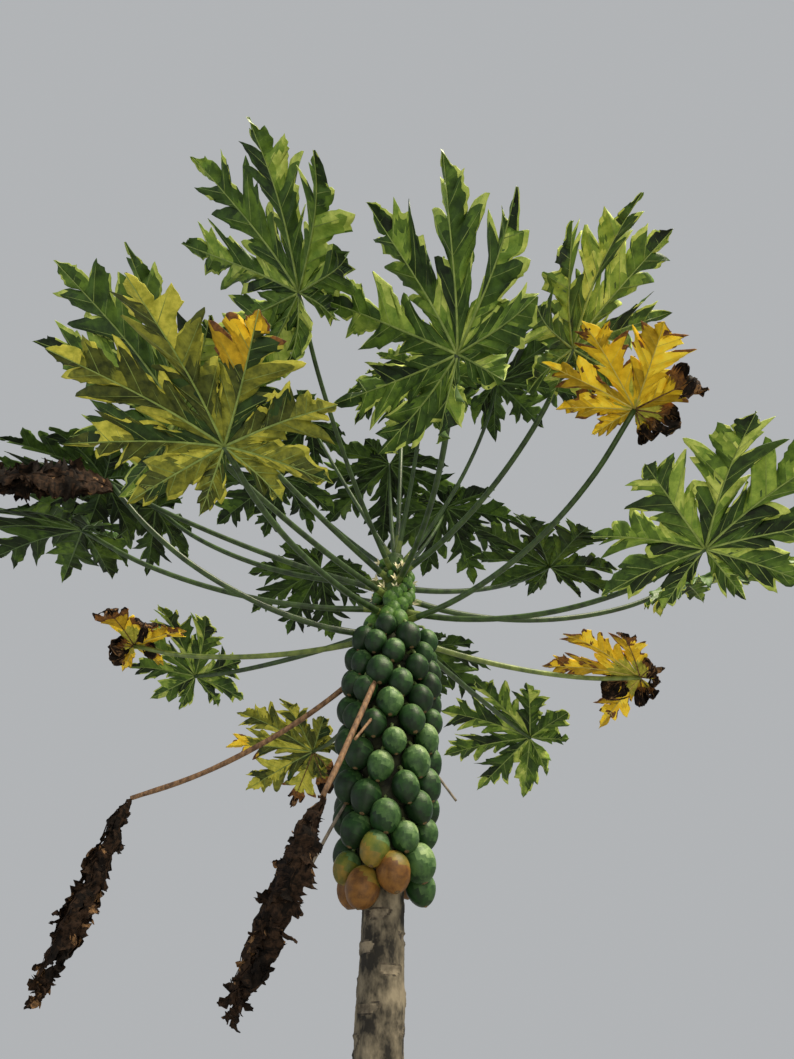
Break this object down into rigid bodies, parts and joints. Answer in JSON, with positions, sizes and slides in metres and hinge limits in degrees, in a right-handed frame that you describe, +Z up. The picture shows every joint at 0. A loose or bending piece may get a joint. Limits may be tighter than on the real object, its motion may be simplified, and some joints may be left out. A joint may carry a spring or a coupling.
{
  "type": "papaya tree",
  "caption": "Fruiting papaya tree: a bare leaning trunk, a close column of fruit under a wide crown of long-stalked lobed leaves, with yellowed and dead leaves.",
  "frame": {"origin": "centre of the flat cut under the trunk, at ground level", "axes": "+Z up, -Y towards the side shown in the picture, +X to that view's right"},
  "size_m": [2.9663, 2.6297, 4.2134],
  "materials": {
    "bark": "rough grey-brown bark with leaf scars",
    "leaf_green": "green leaf, slightly glossy above",
    "leaf_deep_green": "dark green leaf",
    "leaf_olive": "yellowing leaf",
    "leaf_yellow": "bright yellow leaf",
    "dead_leaf": "dry brown crumpled leaf",
    "dead_stalk": "dry tan stalk",
    "fruit_green": "unripe green skin, satin",
    "fruit_young": "young pale green skin, satin",
    "fruit_ripe": "ripening orange skin, satin"
  },
  "bodies": {
    "root": {"trunk": "bark", "leaf_back_low_olive": "leaf_olive", "leaf_right_low_yellow": "leaf_yellow", "leaf_left_low_yellow": "leaf_yellow", "leaf_back_right_low": "leaf_green", "leaf_back_left_low": "leaf_green", "leaf_right_front_yellow": "leaf_yellow", "leaf_back_low": "leaf_deep_green", "leaf_front_left_yellowing": "leaf_olive", "leaf_right_large": "leaf_green", "leaf_left_large": "leaf_deep_green", "leaf_right": "leaf_green", "leaf_back_left_drooping": "leaf_deep_green", "leaf_front_left_green": "leaf_green", "leaf_left_upper": "leaf_deep_green", "leaf_front_centre": "leaf_green", "leaf_back_right": "leaf_deep_green", "leaf_left_inner": "leaf_deep_green", "leaf_front_left_inner": "leaf_green", "leaf_front_right_green": "leaf_green", "leaf_front_tall": "leaf_green", "leaf_back_right_upper": "leaf_deep_green", "leaf_back_left_upper": "leaf_deep_green", "leaf_right_upper": "leaf_deep_green", "leaf_back_upper": "leaf_deep_green", "leaf_back_left_young": "leaf_deep_green", "leaf_right_young": "leaf_green", "leaf_top_young": "leaf_green", "dead_leaf_left_stalk": "dead_stalk", "dead_leaf_left_blade": "dead_leaf", "dead_leaf_front_stalk": "dead_stalk", "dead_leaf_front_blade": "dead_leaf", "dead_leaf_left_high_stalk": "dead_stalk", "dead_leaf_left_high_blade": "dead_leaf", "dead_stalk_front": "dead_stalk", "dead_stalk_left": "dead_stalk", "dead_stalk_right": "dead_stalk", "fruit_young": "fruit_young", "fruit_tier_5": "fruit_green", "fruit_tier_4": "fruit_green", "fruit_tier_3": "fruit_green", "fruit_tier_2": "fruit_green", "fruit_tier_1": "fruit_green", "fruit_ripe": "fruit_ripe"}
  },
  "joints": []
}
